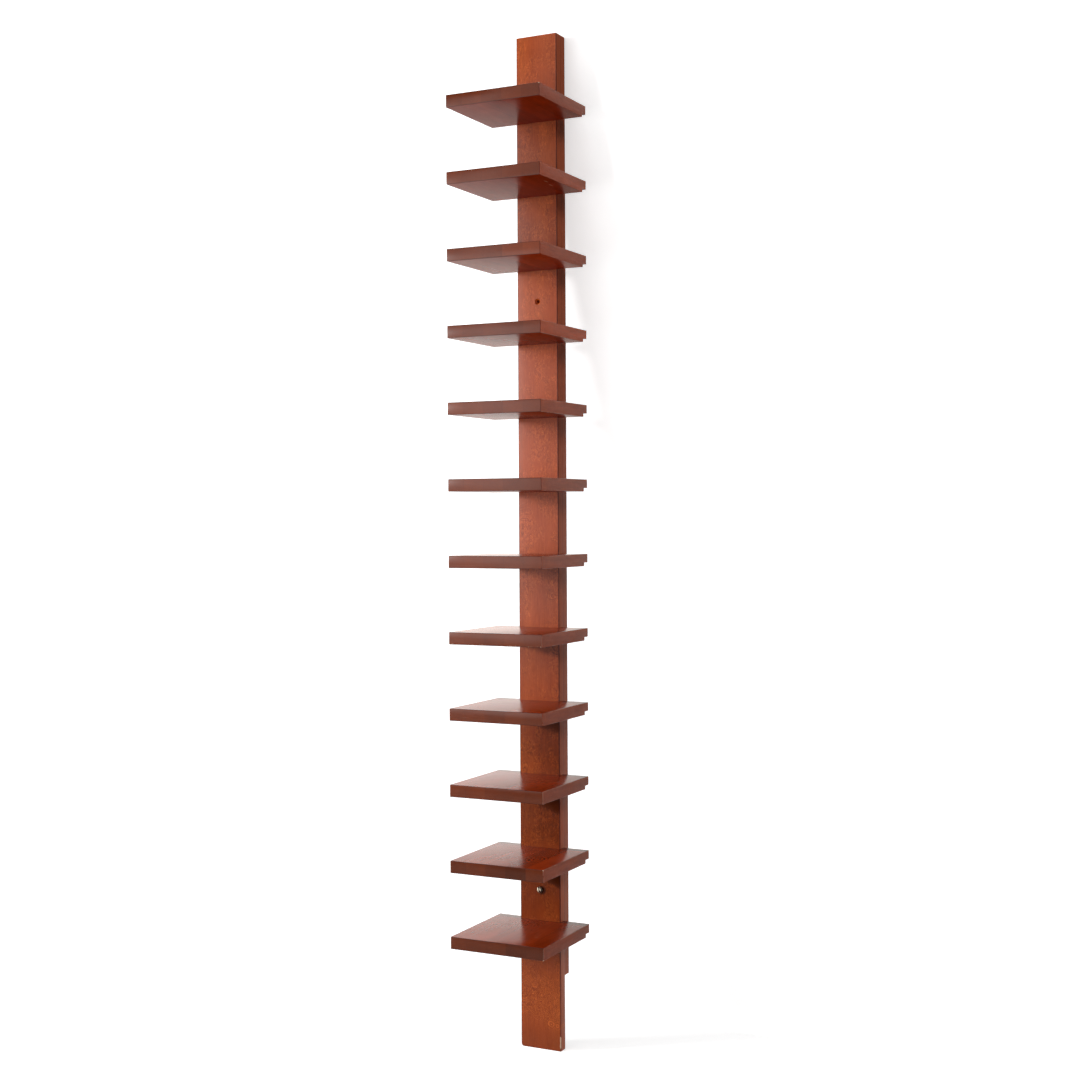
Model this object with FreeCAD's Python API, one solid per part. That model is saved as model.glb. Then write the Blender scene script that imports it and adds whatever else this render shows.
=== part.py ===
import FreeCAD
import Part
import math
import os

# Spine bookshelf: square shelves for stacks of lying books, one above another on a narrow spine.
# The spine is a front board that stands on the floor and a wall batten behind it. The batten ends
# above the floor, which leaves room for a skirting board.
# Each shelf is rebated underneath along its rear edge. The tongue that is left sits in a dado cut
# across the front board, the shoulder below it bears on the board's face, and a countersunk
# screw from the board's back draws the joint tight. The batten, which is glued on last, covers the
# screws. Two holes through board and batten take the screws into the wall.
#
# Millimetres, +Z up, +X to the right, and the front faces -Y.
# The origin is on the axis of the upper wall hole, in the wall plane.

# ---- Shelves ----
shelf_count = 12
shelf_width = 208.0
shelf_reach = 194.0  # from the spine's front face to the shelf's front edge
shelf_thickness = 25.0
shelf_pitch = 152.5  # from one upper face to the next
lowest_shelf_height = 243.5  # from the floor to the lowest shelf's underside

# ---- Spine ----
spine_width = 92.0
board_thickness = 20.0
batten_thickness = 20.0
top_overhang = 154.0  # spine above the top shelf
skirting_clearance = 154.0  # from the floor to the batten's lower end

# ---- Shelf joint ----
rebate_height = 7.5  # taken off the shelf's underside behind the shoulder
dado_web = 3.8  # left of the board behind each dado
tongue_end_gap = 0.2
tongue_slack = 0.1  # in the tongue's thickness

# ---- Shelf screws, one for each shelf, from the board's back ----
shelf_screw_length = 80.0
shelf_screw_shank_diameter = 5.0
shelf_screw_head_diameter = 10.0
shelf_screw_sink = 0.4  # of the head below the board's back
shelf_screw_hole_slack = 0.2  # in diameter
shelf_screw_pilot_extra = 2.0  # of the pilot hole beyond the screw's end

# ---- Wall holes and wall screw ----
upper_hole_bay = 3  # the open space under this shelf, counted from the top
wall_hole_diameter = 7.0
wall_hole_mouth_diameter = 13.0  # countersunk at 90 degrees
wall_screw_shank_diameter = 6.5
wall_screw_head_diameter = 13.0
wall_screw_head_height = 4.6
wall_screw_crown_bevel = 1.5  # around the head's crown
wall_screw_stand_off = 1.5  # between the head and the board
wall_screw_end_inset = 1.5  # of its end inside the wall plane
wall_screw_slot_width = 1.8
wall_screw_slot_depth = 2.4
wall_screw_slot_angle = 26.0  # degrees, the slot's upper end leans to the left

# ---- Edges ----
shelf_arris = 0.8  # width taken off each edge that isn't part of the joint
spine_arris = 0.8
foot_corner_radius = 6.0  # left corner of the board's foot, in front view
foot_heel_radius = 3.0  # rear edge of the board's foot
batten_heel_radius = 4.0  # rear edge of the batten's lower end

# ---- Places worked out from the sizes above ----
dado_depth = board_thickness - dado_web
tongue_length = dado_depth - tongue_end_gap
tongue_thickness = shelf_thickness - rebate_height
shelf_screw_hole_diameter = shelf_screw_shank_diameter + shelf_screw_hole_slack

wall_y = 0.0
batten_front_y = wall_y - batten_thickness
spine_front_y = batten_front_y - board_thickness
shelf_front_y = spine_front_y - shelf_reach
tongue_end_y = spine_front_y + tongue_length
shelf_screw_head_y = batten_front_y - shelf_screw_sink
shelf_screw_end_y = shelf_screw_head_y - shelf_screw_length

top_shelf_height = lowest_shelf_height + shelf_thickness + (shelf_count - 1) * shelf_pitch
spine_height = top_shelf_height + top_overhang
upper_hole_height = top_shelf_height - (upper_hole_bay - 0.5) * shelf_pitch - shelf_thickness / 2

floor_z = -upper_hole_height
spine_top_z = floor_z + spine_height
batten_bottom_z = floor_z + skirting_clearance
top_shelf_z = floor_z + top_shelf_height
upper_hole_z = 0.0
lower_hole_z = upper_hole_z - (shelf_count - 1 - upper_hole_bay) * shelf_pitch

NORTH = FreeCAD.Vector(0, 1, 0)  # from the front towards the wall
SIDEWAYS = FreeCAD.Vector(1, 0, 0)


def shelf_top_z(number):
    """Height of a shelf's upper face. The shelves are numbered from the top."""
    return top_shelf_z - (number - 1) * shelf_pitch


def shelf_screw_z(number):
    """Height of a shelf's screw, at half the tongue's thickness."""
    return shelf_top_z(number) - tongue_thickness / 2


def block(x_range, y_range, z_range):
    """A box between the given limits."""
    size = [high - low for low, high in (x_range, y_range, z_range)]
    corner = FreeCAD.Vector(x_range[0], y_range[0], z_range[0])
    return Part.makeBox(*size, corner)


def drilled(diameter, z, y_start, y_end):
    """A round cutter along Y on the spine's centreline."""
    return Part.makeCylinder(diameter / 2, y_end - y_start, FreeCAD.Vector(0, y_start, z), NORTH)


def countersink(mouth_diameter, hole_diameter, z, mouth_y, inward):
    """A 90 degree cone cutter that opens at mouth_y and narrows inward, which is +1 or -1 along Y."""
    depth = (mouth_diameter - hole_diameter) / 2
    mouth = FreeCAD.Vector(0, mouth_y, z)
    return Part.makeCone(mouth_diameter / 2, hole_diameter / 2, depth, mouth, NORTH * inward)


def turned(outline, z):
    """A solid turned about the Y direction, on the spine's centreline at height z, from its outline."""
    solid = Part.Face(Part.makePolygon(outline + outline[:1])).revolve(FreeCAD.Vector(0, 0, 0), NORTH, 360)
    solid.translate(FreeCAD.Vector(0, 0, z))
    return solid


def runs_through(edge, x=None, y=None, z=None):
    """Whether both ends of an edge lie in each of the planes that are given."""
    planes = [(axis, value) for axis, value in enumerate((x, y, z)) if value is not None]
    return all(abs(vertex.Point[axis] - value) < 1e-6 for vertex in edge.Vertexes for axis, value in planes)


def meets_smoothly(solid, edge):
    """Whether the two faces beside an edge run into each other without a corner."""
    middle = edge.valueAt((edge.FirstParameter + edge.LastParameter) / 2)
    normals = []
    for face in solid.ancestorsOfType(edge, Part.Face):
        u, v = face.Surface.parameter(middle)
        normals.append(face.normalAt(u, v))
    return normals[0].getAngle(normals[1]) < math.radians(5)


def eased_board(solid, heel_y, heel_z, heel_radius):
    """Breaks all edges of a spine board and then rounds its heel, the rear edge of its lower end."""
    sharp = [edge for edge in solid.Edges if not meets_smoothly(solid, edge)]
    eased = solid.makeChamfer(spine_arris, sharp)
    axis_y = heel_y - heel_radius
    axis_z = heel_z + heel_radius
    axis_start = FreeCAD.Vector(-spine_width, axis_y, axis_z)
    corner = block((-spine_width, spine_width), (axis_y, heel_y + 1), (heel_z - 1, axis_z))
    return eased.cut(corner.cut(Part.makeCylinder(heel_radius, 2 * spine_width, axis_start, SIDEWAYS)))


def spine_board():
    """Front board: one length from the floor to the top, with a dado for each shelf."""
    half = spine_width / 2
    low = FreeCAD.Vector(-half, spine_front_y, floor_z)
    arc_side = low + FreeCAD.Vector(0, 0, foot_corner_radius)
    arc_foot = low + FreeCAD.Vector(foot_corner_radius, 0, 0)
    arc_inset = foot_corner_radius * (1 - math.sqrt(0.5))
    arc_middle = low + FreeCAD.Vector(arc_inset, 0, arc_inset)
    foot_right = FreeCAD.Vector(half, spine_front_y, floor_z)
    top_right = FreeCAD.Vector(half, spine_front_y, spine_top_z)
    top_left = FreeCAD.Vector(-half, spine_front_y, spine_top_z)
    outline = [
        Part.Arc(arc_side, arc_middle, arc_foot).toShape(),
        Part.LineSegment(arc_foot, foot_right).toShape(),
        Part.LineSegment(foot_right, top_right).toShape(),
        Part.LineSegment(top_right, top_left).toShape(),
        Part.LineSegment(top_left, arc_side).toShape(),
    ]
    board = Part.Face(Part.Wire(outline)).extrude(NORTH * board_thickness)
    board = eased_board(board, batten_front_y, floor_z, foot_heel_radius)

    dado_back_y = spine_front_y + dado_depth
    seat_diameter = shelf_screw_head_diameter + shelf_screw_hole_slack + 2 * shelf_screw_sink
    cutters = []
    for number in range(1, shelf_count + 1):
        top = shelf_top_z(number) + tongue_slack / 2
        bottom = shelf_top_z(number) - tongue_thickness - tongue_slack / 2
        z = shelf_screw_z(number)
        cutters.append(block((-spine_width, spine_width), (spine_front_y - 1, dado_back_y), (bottom, top)))
        cutters.append(drilled(shelf_screw_hole_diameter, z, dado_back_y - 1, batten_front_y))
        cutters.append(countersink(seat_diameter, shelf_screw_hole_diameter, z, batten_front_y, -1))
    for z in (upper_hole_z, lower_hole_z):
        cutters.append(drilled(wall_hole_diameter, z, spine_front_y, batten_front_y + 1))
        cutters.append(countersink(wall_hole_mouth_diameter, wall_hole_diameter, z, spine_front_y, 1))
    return board.cut(cutters)


def wall_batten():
    """Rear batten: as wide as the board and level with its top, but clear of the skirting board."""
    half = spine_width / 2
    batten = block((-half, half), (batten_front_y, wall_y), (batten_bottom_z, spine_top_z))
    batten = eased_board(batten, wall_y, batten_bottom_z, batten_heel_radius)

    for z in (upper_hole_z, lower_hole_z):
        batten = batten.cut(drilled(wall_hole_diameter, z, batten_front_y - 1, wall_y + 1))
    return batten


def shelf(number):
    """One shelf: a plain board with a rebate under its rear edge, which leaves tongue and shoulder."""
    half = shelf_width / 2
    top = shelf_top_z(number)
    bottom = top - shelf_thickness
    side_view = [
        FreeCAD.Vector(-half, shelf_front_y, top),
        FreeCAD.Vector(-half, shelf_front_y, bottom),
        FreeCAD.Vector(-half, spine_front_y, bottom),
        FreeCAD.Vector(-half, spine_front_y, bottom + rebate_height),
        FreeCAD.Vector(-half, tongue_end_y, bottom + rebate_height),
        FreeCAD.Vector(-half, tongue_end_y, top),
    ]
    board = Part.Face(Part.makePolygon(side_view + side_view[:1])).extrude(SIDEWAYS * shelf_width)
    eased = []
    for edge in board.Edges:
        at_front = runs_through(edge, y=shelf_front_y)
        on_side = runs_through(edge, x=-half) or runs_through(edge, x=half)
        on_face = runs_through(edge, z=top) or runs_through(edge, z=bottom)
        if at_front or (on_side and on_face):
            eased.append(edge)
    board = board.makeChamfer(shelf_arris, eased)

    pilot_end_y = shelf_screw_end_y - shelf_screw_pilot_extra
    pilot = drilled(shelf_screw_hole_diameter, shelf_screw_z(number), pilot_end_y, tongue_end_y + 1)
    return board.cut(pilot)


def shelf_screw(number):
    """Countersunk wood screw of one shelf, its head just below the board's back."""
    head = shelf_screw_head_diameter / 2
    shank = shelf_screw_shank_diameter / 2
    neck_y = shelf_screw_head_y - (head - shank)
    outline = [
        FreeCAD.Vector(0, shelf_screw_head_y, 0),
        FreeCAD.Vector(head, shelf_screw_head_y, 0),
        FreeCAD.Vector(shank, neck_y, 0),
        FreeCAD.Vector(shank, shelf_screw_end_y, 0),
        FreeCAD.Vector(0, shelf_screw_end_y, 0),
    ]
    return turned(outline, shelf_screw_z(number))


def wall_screw():
    """Slotted wood screw in the lower wall hole, not driven home."""
    head = wall_screw_head_diameter / 2
    shank = wall_screw_shank_diameter / 2
    seat_y = spine_front_y - wall_screw_stand_off
    crown_y = seat_y - wall_screw_head_height
    end_y = wall_y - wall_screw_end_inset
    outline = [
        FreeCAD.Vector(0, crown_y, 0),
        FreeCAD.Vector(head - wall_screw_crown_bevel, crown_y, 0),
        FreeCAD.Vector(head, crown_y + wall_screw_crown_bevel, 0),
        FreeCAD.Vector(head, seat_y, 0),
        FreeCAD.Vector(shank, seat_y, 0),
        FreeCAD.Vector(shank, end_y, 0),
        FreeCAD.Vector(0, end_y, 0),
    ]
    screw = turned(outline, lower_hole_z)

    slot = block(
        (-wall_screw_slot_width / 2, wall_screw_slot_width / 2),
        (crown_y - 1, crown_y + wall_screw_slot_depth),
        (-wall_screw_head_diameter, wall_screw_head_diameter),
    )
    slot.rotate(FreeCAD.Vector(0, 0, 0), NORTH, -wall_screw_slot_angle)
    slot.translate(FreeCAD.Vector(0, 0, lower_hole_z))
    return screw.cut(slot)


def all_pieces():
    """Every piece by its node's name."""
    pieces = {"spine_board": spine_board(), "wall_batten": wall_batten(), "wall_screw": wall_screw()}
    for number in range(1, shelf_count + 1):
        pieces[f"shelf_{number:02d}"] = shelf(number)
        pieces[f"shelf_{number:02d}_screw"] = shelf_screw(number)
    return pieces


os.makedirs("parts", exist_ok=True)
for name, piece in all_pieces().items():
    if not piece.isValid():
        raise ValueError(f"{name} isn't a valid solid")
    piece.exportStep(f"parts/{name}.step")
print(f"overall {shelf_width:.1f} x {-shelf_front_y:.1f} x {spine_height:.1f} mm")
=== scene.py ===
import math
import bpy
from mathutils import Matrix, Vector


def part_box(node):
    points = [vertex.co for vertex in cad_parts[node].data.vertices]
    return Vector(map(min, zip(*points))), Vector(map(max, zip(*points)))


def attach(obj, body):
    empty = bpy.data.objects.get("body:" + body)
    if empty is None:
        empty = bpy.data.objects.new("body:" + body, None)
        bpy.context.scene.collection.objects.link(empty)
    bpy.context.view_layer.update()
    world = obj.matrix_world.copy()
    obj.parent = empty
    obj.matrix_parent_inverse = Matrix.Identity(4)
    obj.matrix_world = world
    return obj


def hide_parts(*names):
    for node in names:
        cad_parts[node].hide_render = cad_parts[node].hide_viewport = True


bl_info = {
    "name": "Spine bookshelf",
    "version": (1, 0, 0),
    "blender": (4, 5, 0),
    "location": "View3D > Sidebar > Bookshelf",
    "description": "Makes a tall spine bookshelf of stained birch and the studio that it stands in",
    "category": "Add Mesh",
}

import bmesh
import bpy
from bpy.props import FloatProperty, FloatVectorProperty, PointerProperty
from mathutils import Matrix, Vector

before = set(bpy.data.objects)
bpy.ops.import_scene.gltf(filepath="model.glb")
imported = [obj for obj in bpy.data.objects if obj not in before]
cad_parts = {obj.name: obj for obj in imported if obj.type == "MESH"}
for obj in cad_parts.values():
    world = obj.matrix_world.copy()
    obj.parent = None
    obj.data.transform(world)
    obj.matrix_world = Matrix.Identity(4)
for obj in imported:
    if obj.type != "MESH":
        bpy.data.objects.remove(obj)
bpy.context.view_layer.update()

# Metres, +Z up, +X to the right, and the front faces -Y. The wall plane is y = 0.
board_low, board_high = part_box("spine_board")
batten_low, batten_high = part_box("wall_batten")
shelf_low, shelf_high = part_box("shelf_01")
next_shelf_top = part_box("shelf_02")[1].z
wall_screw_low, wall_screw_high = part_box("wall_screw")
shelf_screw_low, shelf_screw_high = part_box("shelf_01_screw")
shelf_nodes = sorted(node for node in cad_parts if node[:6] == "shelf_" and node[6:].isdigit())
lower_hole_height = (wall_screw_low.z + wall_screw_high.z) / 2
MM = 0.001
PAST = 1 * MM  # how far a cutter reaches past what it cuts
TOUCHING = 0.01 * MM
TOP_SHELF = 0.39  # just under the upper face of the top shelf
LAST_SHELF = -1.31  # just under the lowest shelf
NUMBER, WHOLE = "NodeSocketFloat", "NodeSocketInt"


def number(name, description, default, **limits):
    return FloatProperty(name=name, description=description, default=default, **limits)


def length(name, description, default):
    return number(name, description, default, unit="LENGTH", precision=5)


def rotation(name, description, degrees):
    return number(name, description, math.radians(degrees), subtype="ANGLE")


def share(name, description, default, most=1.0):
    return number(name, description, default, min=0, max=most)


def triple(name, description, default, **limits):
    return FloatVectorProperty(name=name, description=description, default=default, size=3, **limits)


def colour(name, description, default):
    return triple(name, description, default, subtype="COLOR", min=0, max=1)


class BookshelfShelves(bpy.types.PropertyGroup):
    width: length("Width", "Length of the front edge", shelf_high.x - shelf_low.x)
    front: length("Front edge", "Place of the front edge along Y", shelf_low.y)
    thickness: length("Thickness", "Thickness of the board", shelf_high.z - shelf_low.z)
    top: length("Top shelf", "Height of the top shelf's upper face", shelf_high.z)
    pitch: length("Pitch", "From one upper face to the next", shelf_high.z - next_shelf_top)
    tongue_end: length("Tongue's end", "Place of the tongue's end along Y", shelf_high.y)
    rebate: length("Rebate", "Height of the rebate under the tongue", 7.5 * MM)
    arris: length("Arris", "Radius of the broken edges", 1.0 * MM)
    stave: length("Stave", "Width of the glued staves", 44.5 * MM)


class BookshelfSpine(bpy.types.PropertyGroup):
    foot_corner: length("Foot corner", "Radius of the left corner of the foot", 6.0 * MM)
    foot_heel: length("Foot heel", "Radius of the rear edge of the foot", 3.0 * MM)
    batten_heel: length("Batten heel", "Radius of the rear edge of the batten's lower end", 4.0 * MM)
    arris: length("Arris", "Radius of the broken edges", 1.0 * MM)
    dado_web: length("Web", "Wood left behind each dado", 3.8 * MM)
    joint_gap: length("Joint gap", "Play of a tongue in its dado", 0.1 * MM)
    wall_hole: length("Wall hole", "Diameter of the wall holes", 7.0 * MM)
    wall_mouth: length("Countersink", "Diameter of the wall holes' mouths", 13.0 * MM)


class BookshelfScrews(bpy.types.PropertyGroup):
    shelf_shank: length("Shelf screw", "Diameter of the shelf screws", 5.0 * MM)
    shelf_head: length("Shelf screw head", "Diameter of the shelf screws' heads", 10.0 * MM)
    wall_shank: length("Wall screw", "Diameter of the wall screw", 6.5 * MM)
    wall_head: length("Wall screw head", "Diameter of the wall screw's head", 13.0 * MM)
    head_height: length("Head height", "Height of the wall screw's head", 4.6 * MM)
    slot_width: length("Slot width", "Width of the driver slot", 1.8 * MM)
    slot_depth: length("Slot depth", "Depth of the driver slot", 2.4 * MM)
    slot_lean: rotation("Slot angle", "Lean of the slot's upper end to the left", 26)


class BookshelfFinish(bpy.types.PropertyGroup):
    spine_red: colour("Spine stain", "Stain on the spine's flat grain", (0.385, 0.064, 0.011))
    spine_warm: colour("Spine flecks", "Lighter flecks in the spine's grain", (0.47, 0.105, 0.020))
    spine_side: colour("Spine edge stain", "Stain on the sides of the spine", (0.450, 0.100, 0.042))
    shelf_face: colour("Shelf stain", "Stain on the shelves' flat grain", (0.262, 0.028, 0.004))
    shelf_under: colour("Underside stain", "Stain on the shelves' undersides", (0.222, 0.018, 0.002))
    shelf_end: colour("End grain stain", "Stain on the shelves' end grain", (0.117, 0.020, 0.004))
    shelf_side: colour("Shelf edge stain", "Stain on the sides of the shelves", (0.385, 0.050, 0.006))
    dark_arris: colour("Dark arris", "Stain that has gathered along the edges", (0.075, 0.016, 0.009))
    # Paler edges: wear, and on the shelves' arrises partly a painted highlight
    worn_and_highlit_arris: colour("Worn arris", "Edges that are rubbed paler", (0.42, 0.20, 0.13))
    bare_wood: colour("Bare birch", "Wood that shows where the stain has chipped", (0.72, 0.48, 0.33))
    steel: colour("Steel", "Bright steel of the wall screw", (0.66, 0.61, 0.50))
    zinc: colour("Yellow zinc", "Plating of the shelf screws", (0.72, 0.56, 0.27))
    lacquer_gloss: share("Lacquer roughness", "Roughness of the satin lacquer on the shelves", 0.23)


class BookshelfStudio(bpy.types.PropertyGroup):
    camera_place: triple(
        "Camera", "Place of the camera", (1.50333, -3.02981, -0.44298), subtype="XYZ", unit="LENGTH"
    )
    camera_turn: rotation("Turn", "Turn of the camera about the vertical", 26.644)
    camera_rise: rotation("Rise", "Rise of the camera's view", -0.855)
    camera_roll: rotation("Roll", "Roll of the camera", -0.293)
    focal_length: number("Focal length", "Focal length in millimetres on a 36 mm sensor", 53.836)
    floor_light: share("Floor light", "Level of the even light from below", 0.19, 4)


class Wire:
    """An output socket. Arithmetic on it adds Math nodes to its tree."""

    def __init__(self, nodes, socket):
        self.nodes = nodes
        self.socket = socket

    def maths(self, operation, *terms):
        return self.nodes.add("ShaderNodeMath", {"operation": operation}, dict(enumerate(terms)))

    def __add__(self, other):
        return self.maths("ADD", self, other)

    def __radd__(self, other):
        return self.maths("ADD", other, self)

    def __sub__(self, other):
        return self.maths("SUBTRACT", self, other)

    def __rsub__(self, other):
        return self.maths("SUBTRACT", other, self)

    def __mul__(self, other):
        return self.maths("MULTIPLY", self, other)

    def __rmul__(self, other):
        return self.maths("MULTIPLY", other, self)

    def __truediv__(self, other):
        return self.maths("DIVIDE", self, other)

    def __rtruediv__(self, other):
        return self.maths("DIVIDE", other, self)

    def __mod__(self, other):
        return self.maths("FLOORED_MODULO", self, other)

    def __rmod__(self, other):
        return self.maths("FLOORED_MODULO", other, self)

    def __pow__(self, other):
        return self.maths("POWER", self, other)

    def __rpow__(self, other):
        return self.maths("POWER", other, self)

    def __lt__(self, other):
        return self.maths("LESS_THAN", self, other)

    def __gt__(self, other):
        return self.maths("GREATER_THAN", self, other)

    def __abs__(self):
        return self.maths("ABSOLUTE", self)

    def floor(self):
        return self.maths("FLOOR", self)

    def wave(self):
        return self.maths("SINE", self)

    def at_least(self, other):
        return self.maths("MAXIMUM", self, other)

    def at_most(self, other):
        return self.maths("MINIMUM", self, other)

    def output(self, key):
        """Another output of the same node."""
        return Wire(self.nodes, self.socket.node.outputs[key])


class Nodes:
    """A node tree that is filled one node at a time."""

    def __init__(self, tree):
        self.tree = tree
        tree.nodes.clear()

    def add(self, kind, settings=None, sockets=None, output=0):
        """Adds a node: its settings are set first, then its sockets are given values or links."""
        node = self.tree.nodes.new(kind)
        for name, value in (settings or {}).items():
            if name == "items":  # how many values an index switch has to choose from
                while len(node.index_switch_items) < value:
                    node.index_switch_items.new()
            else:
                setattr(node, name, value)
        for key, value in (sockets or {}).items():
            wires = value if isinstance(value, list) else [value]
            if isinstance(wires[0], Wire):
                for wire in wires:
                    self.tree.links.new(wire.socket, node.inputs[key])
            else:
                node.inputs[key].default_value = value
        return Wire(self, node.outputs[output]) if len(node.outputs) else None

    def point(self, x, y, z):
        return self.add("ShaderNodeCombineXYZ", {}, {0: x, 1: y, 2: z})

    def parts(self, vector):
        x = self.add("ShaderNodeSeparateXYZ", {}, {0: vector})
        return x, x.output(1), x.output(2)

    def noise(self, place, scale, detail=3.0, roughness=0.55, distortion=0.0):
        sockets = {"Vector": place, "Scale": scale, "Detail": detail, "Roughness": roughness}
        return self.add("ShaderNodeTexNoise", {}, sockets | {"Distortion": distortion})

    def grain(self, place, stretch, detail, roughness=0.55, distortion=0.0, shift=None):
        """Noise at a place that is given by its three parts, each with a scale of its own."""
        point = self.point(*[part * scale for part, scale in zip(place, stretch)])
        if shift is not None:
            point = self.add("ShaderNodeVectorMath", {"operation": "ADD"}, {0: point, 1: shift})
        return self.noise(point, 1.0, detail, roughness, distortion)

    def between(self, value, low, high, start=0.0, end=1.0):
        """start below low, end above high, and a smooth step between them."""
        sockets = {0: value, 1: low, 2: high, 3: start, 4: end}
        return self.add("ShaderNodeMapRange", {"interpolation_type": "SMOOTHSTEP"}, sockets)

    def within(self, value, inner, outer, level=1.0):
        """level below inner, 0 above outer, and a smooth step between them."""
        return self.between(value, inner, outer, level, 0.0)

    def around(self, value, middle, inner, outer, level=1.0):
        """level within inner of the middle, and 0 further away than outer."""
        return self.within(abs(value - middle), inner, outer, level)

    def facing(self, part, way=1):
        """1 where a part of the normal points one way, 0 where it doesn't."""
        return self.between(part, 0.6 * way, 0.9 * way)

    def blend(self, share, first, second, how="MIX"):
        first, second = [c if isinstance(c, Wire) else (*c, 1) for c in (first, second)]
        settings = {"data_type": "RGBA", "blend_type": how}
        return self.add("ShaderNodeMix", settings, {0: share, 6: first, 7: second}, 2)

    def tone(self, colour, level):
        """A colour made lighter or darker by a value."""
        return self.blend(1.0, colour, self.point(level, level, level), "MULTIPLY")


# ---- Making meshes ----


def new_object(name, mesh):
    thing = bpy.data.objects.new(name, mesh)
    bpy.context.scene.collection.objects.link(thing)
    return thing


def mesh_of(bm, name):
    mesh = bpy.data.meshes.new(name)
    bm.to_mesh(mesh)
    bm.free()
    return mesh


def plain(name, source):
    """A new object with the evaluated mesh of another, which is used up with its modifiers."""
    evaluated = source.evaluated_get(bpy.context.evaluated_depsgraph_get())
    mesh = bpy.data.meshes.new_from_object(evaluated)
    mesh.name = name
    bpy.data.objects.remove(source)
    return new_object(name, mesh)


def settle(thing, name, material, slot, *nodes, sharp=35):
    """Shades a finished piece, gives it its name, material and body, and hides the CAD nodes that it
    stands for.
    """
    if not len(thing.data.polygons):
        raise RuntimeError(f"{name} has no faces")
    thing.name = name
    for polygon in thing.data.polygons:
        polygon.use_smooth = max(abs(part) for part in polygon.normal) < 0.99999
    thing.data.set_sharp_from_angle(angle=math.radians(sharp))
    thing.data.materials.clear()
    thing.data.materials.append(material)
    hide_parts(*nodes)
    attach(thing, "root")


def rectangle(low, high):
    """The outline of a rectangle from one corner to the opposite one."""
    return [low, (high[0], low[1]), high, (low[0], high[1])]


def arc(centre, radius, start, end, steps):
    """Points on an arc, from one angle to another, in degrees."""
    angles = [math.radians(start + (end - start) * i / steps) for i in range(steps + 1)]
    return [(centre[0] + radius * math.cos(a), centre[1] + radius * math.sin(a)) for a in angles]


def prism(outline, direction, start, end, name):
    """A closed solid from an outline in the XZ plane (direction Y) or the YZ plane (direction X)."""
    bm = bmesh.new()
    place = {"Y": lambda a, b, t: (a, t, b), "X": lambda a, b, t: (t, a, b)}[direction]
    near = [bm.verts.new(place(a, b, start)) for a, b in outline]
    far = [bm.verts.new(place(a, b, end)) for a, b in outline]
    bm.faces.new(near)
    bm.faces.new(list(reversed(far)))
    for i in range(len(outline)):
        j = (i + 1) % len(outline)
        bm.faces.new((near[i], far[i], far[j], near[j]))
    bmesh.ops.recalc_face_normals(bm, faces=bm.faces)
    return new_object(name, mesh_of(bm, name))


def turned(profile, height, steps, name):
    """A closed solid turned about Y at a height, from (radius, y) pairs from axis to axis."""
    bm = bmesh.new()
    rings = []
    for radius, y in profile:
        ring = []
        for step in range(steps if radius else 1):
            angle = 2 * math.pi * step / steps
            ring.append(bm.verts.new((radius * math.cos(angle), y, height + radius * math.sin(angle))))
        rings.append(ring)
    for first, second in zip(rings, rings[1:]):
        for i in range(steps):
            j = (i + 1) % steps
            corners = [first[k % len(first)] for k in (i, j)]
            corners += [second[k % len(second)] for k in (j, i)]
            bm.faces.new(list(dict.fromkeys(corners)))
    bmesh.ops.recalc_face_normals(bm, faces=bm.faces)
    return new_object(name, mesh_of(bm, name))


def turn_and_move(thing, angle, axis, y, z):
    thing.data.transform(Matrix.Translation((0, y, z)) @ Matrix.Rotation(angle, 4, axis))


def carve(thing, *cutters):
    """Cuts away what the cutters fill. The cutters are used up."""
    for cutter in cutters:
        cut = thing.modifiers.new("Cut", "BOOLEAN")
        cut.operation = "DIFFERENCE"
        cut.solver = "EXACT"
        cut.object = cutter
    result = plain(thing.name + "_cut", thing)
    for cutter in cutters:
        bpy.data.objects.remove(cutter)
    return result


def ease(thing, radius):
    """Rounds the edges that carry a bevel weight."""
    rounding = thing.modifiers.new("Arris", "BEVEL")
    rounding.width = radius
    rounding.segments = 3
    rounding.limit_method = "WEIGHT"


def eased_board(thing, radius, glued_y):
    """Rounds all sharp edges of a board but those of its glued face."""
    bm = bmesh.new()
    bm.from_mesh(thing.data)
    weight = bm.edges.layers.float.new("bevel_weight_edge")
    for edge in bm.edges:
        glued = all(abs(vertex.co.y - glued_y) < TOUCHING for vertex in edge.verts)
        edge[weight] = float(not glued and edge.calc_face_angle() > 1)
    bm.to_mesh(thing.data)
    bm.free()
    ease(thing, radius)
    return plain(thing.name + "_eased", thing)


def sideways_cutter(outline, name):
    """A cutter with an outline in the YZ plane that reaches past both sides of the spine."""
    return prism(outline, "X", -2 * board_high.x, 2 * board_high.x, name)


def heel_cutter(heel_y, heel_z, radius):
    """What is cut away to round the rear edge of a board's lower end."""
    y, z = heel_y - radius, heel_z + radius
    past_y, past_z = heel_y + 2 * PAST, heel_z - 2 * PAST
    outline = arc((y, z), radius, -90, 0, 6) + [(past_y, z), (past_y, past_z), (y, past_z)]
    return sideways_cutter(outline, "heel")


def with_wall_holes(board, profile):
    """Bores both wall holes, with the profile of (radius, y) pairs."""
    return carve(board, *[turned(profile, z, 40, "hole") for z in (0.0, lower_hole_height)])


# ---- Geometry Nodes ----


def new_tree(name, inputs):
    """A tree with named inputs, of which the last is a material, and a list with a wire for each."""
    nodes = Nodes(bpy.data.node_groups.new(name, "GeometryNodeTree"))
    inputs = inputs | {"Material": "NodeSocketMaterial"}
    for key, kind in inputs.items():
        nodes.tree.interface.new_socket(key, in_out="INPUT", socket_type=kind)
    nodes.tree.interface.new_socket("Geometry", in_out="OUTPUT", socket_type="NodeSocketGeometry")
    start = nodes.add("NodeGroupInput")
    return nodes, [start.output(key) for key in inputs]


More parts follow.
